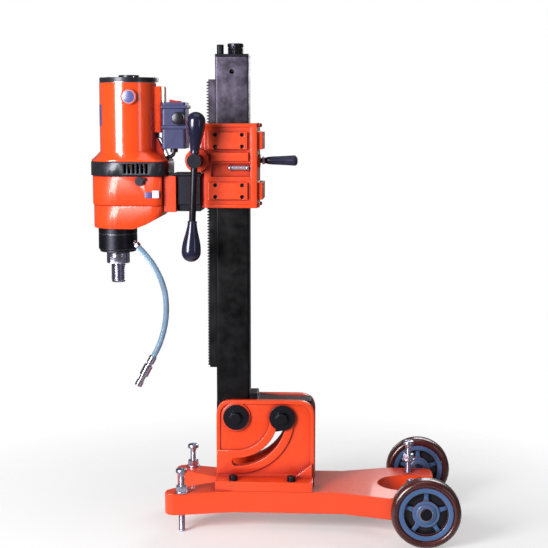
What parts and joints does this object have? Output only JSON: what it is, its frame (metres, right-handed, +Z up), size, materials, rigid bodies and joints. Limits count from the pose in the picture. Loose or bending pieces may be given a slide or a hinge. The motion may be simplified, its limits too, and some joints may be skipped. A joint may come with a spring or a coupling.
{
  "type": "core drill rig",
  "caption": "Wheeled core drill stand with a tilting toothed column, a hand-fed carriage and an offset wet drill motor with a water hose.",
  "frame": {"origin": "on the floor, under the middle of the outline", "axes": "+Z up along the column, +X from the drill motor towards the wheels, -Y towards the operator"},
  "size_m": [0.776, 0.368, 1.017],
  "materials": {
    "orange_paint": "glossy orange enamel on castings, shading to red in the dark",
    "orange_plastic": "high gloss moulded orange",
    "black_steel": "satin black oxide",
    "column_steel": "dark worn steel, mottled by use",
    "bright_steel": "zinc plated",
    "gear_steel": "ground steel",
    "chrome": "polished plating",
    "bronze": "bearing bronze",
    "copper": "wound copper and steel core",
    "tyre": "glossy maroon polyurethane",
    "hub_grey": "blue-grey paint",
    "grip": "black moulded plastic with a soft shine",
    "black_plastic": "black moulded plastic",
    "switch_grey": "slate blue moulded plastic",
    "red_plastic": "red moulded plastic",
    "rubber": "black rubber",
    "hose_pvc": "translucent blue-tinted PVC",
    "plate_blue": "blank blue-violet plates",
    "vial_glass": "clear vial"
  },
  "bodies": {
    "base": {"base_casting": "orange_paint", "level_nuts": "bright_steel", "wheel_axle": "black_steel", "near_cheek": "orange_paint", "far_cheek": "orange_paint", "cheek_screws": "black_steel", "pivot_bolt": "black_steel"},
    "level_front_near": {"level_screw_front_near": "bright_steel"},
    "level_front_far": {"level_screw_front_far": "bright_steel"},
    "level_rear_near": {"level_screw_rear_near": "bright_steel"},
    "level_rear_far": {"level_screw_rear_far": "bright_steel"},
    "near_wheel": {"near_tyre": "tyre", "near_hub": "hub_grey", "near_bushes": "bright_steel"},
    "far_wheel": {"far_tyre": "tyre", "far_hub": "hub_grey", "far_bushes": "bright_steel"},
    "column": {"column_tube": "column_steel", "column_foot": "black_steel", "rack": "column_steel", "column_cap": "black_steel", "brace_bolt": "black_steel", "lock_bolt": "black_steel"},
    "jack": {"jack_screw": "black_steel"},
    "carriage": {"carriage": "orange_paint", "slide_pads": "bronze", "pad_screws": "black_steel", "pinion_bushes": "bronze", "lock_shoe": "bronze", "spirit_vial": "vial_glass", "motor_spacer": "black_steel", "mount_plate": "orange_paint", "mount_bolts": "black_steel", "motor_housing": "orange_plastic", "motor_cap": "black_plastic", "vent_band": "black_plastic", "gearbox_case": "orange_paint", "gearbox_nose": "orange_paint", "stator": "gear_steel", "drill_bearings": "bright_steel", "brush_holders": "bronze", "neck": "black_steel", "neck_seals": "rubber", "switch_box": "switch_grey", "motor_lead": "black_plastic", "water_inlet": "chrome", "water_hose": "hose_pvc", "hose_coupler": "chrome", "name_plates": "plate_blue"},
    "pinion": {"pinion_shaft": "black_steel"},
    "feed_handle": {"feed_bar": "black_steel", "feed_grips": "grip"},
    "lock_lever": {"lock_handle": "grip"},
    "armature": {"armature": "copper"},
    "layshaft": {"layshaft": "gear_steel"},
    "spindle": {"spindle": "chrome"},
    "gear_selector": {"gear_knob": "black_plastic"},
    "switch": {"power_switch": "red_plastic"},
    "dial": {"speed_dial": "black_plastic"}
  },
  "joints": [
    {"name": "column_tilt", "type": "hinge", "parent": "base", "child": "column", "pos_m": [-0.079, 0, 0.234], "axis": [0, 1, 0], "range_deg": [0, 90]},
    {"name": "carriage_slide", "type": "slide", "parent": "column", "child": "carriage", "axis": [0, 0, 1], "range_m": [-0.27, 0.1]},
    {"name": "pinion_turn", "type": "hinge", "parent": "carriage", "child": "pinion", "pos_m": [-0.157, 0, 0.777], "axis": [0, 1, 0], "range_deg": [-912, 340]},
    {"name": "feed_bar_slide", "type": "slide", "parent": "pinion", "child": "feed_handle", "axis": [0.0436, 0, 0.999], "range_m": [0, 0.106]},
    {"name": "lock_turn", "type": "hinge", "parent": "carriage", "child": "lock_lever", "pos_m": [-0.027, 0, 0.775], "axis": [1, 0, 0], "range_deg": [0, 180]},
    {"name": "spindle_spin", "type": "hinge", "parent": "carriage", "child": "spindle", "pos_m": [-0.3339, 0, 0.6], "axis": [0, 0, 1], "continuous": true},
    {"name": "armature_spin", "type": "hinge", "parent": "carriage", "child": "armature", "pos_m": [-0.3055, 0, 0.8], "axis": [0, 0, 1], "continuous": true},
    {"name": "layshaft_spin", "type": "hinge", "parent": "carriage", "child": "layshaft", "pos_m": [-0.30449, 0.02998, 0.7], "axis": [0, 0, 1], "continuous": true},
    {"name": "gear_select", "type": "hinge", "parent": "carriage", "child": "gear_selector", "pos_m": [-0.275, -0.065, 0.734], "axis": [0, 1, 0], "range_deg": [0, 60]},
    {"name": "switch_rock", "type": "hinge", "parent": "carriage", "child": "switch", "pos_m": [-0.207, 0, 0.893], "axis": [0, 1, 0], "range_deg": [-12, 0]},
    {"name": "speed_turn", "type": "hinge", "parent": "carriage", "child": "dial", "pos_m": [-0.198, -0.04, 0.863], "axis": [0, 1, 0], "range_deg": [0, 270]},
    {"name": "jack_raise", "type": "slide", "parent": "column", "child": "jack", "axis": [0, 0, 1], "range_m": [0, 0.06]},
    {"name": "near_wheel_roll", "type": "hinge", "parent": "base", "child": "near_wheel", "pos_m": [0.317, -0.165, 0.071], "axis": [0, 1, 0], "continuous": true},
    {"name": "far_wheel_roll", "type": "hinge", "parent": "base", "child": "far_wheel", "pos_m": [0.317, 0.165, 0.071], "axis": [0, 1, 0], "continuous": true},
    {"name": "level_front_near_screw", "type": "slide", "parent": "base", "child": "level_front_near", "axis": [0, 0, 1], "range_m": [-0.02, 0.04]},
    {"name": "level_front_far_screw", "type": "slide", "parent": "base", "child": "level_front_far", "axis": [0, 0, 1], "range_m": [-0.02, 0.04]},
    {"name": "level_rear_near_screw", "type": "slide", "parent": "base", "child": "level_rear_near", "axis": [0, 0, 1], "range_m": [-0.02, 0.025]},
    {"name": "level_rear_far_screw", "type": "slide", "parent": "base", "child": "level_rear_far", "axis": [0, 0, 1], "range_m": [-0.02, 0.025]}
  ],
  "couplings": [
    {"joint": "pinion_turn", "follows": "carriage_slide", "rad_per_m": 58.824},
    {"joint": "armature_spin", "follows": "spindle_spin", "ratio": 7.5},
    {"joint": "layshaft_spin", "follows": "spindle_spin", "ratio": -2.5}
  ]
}
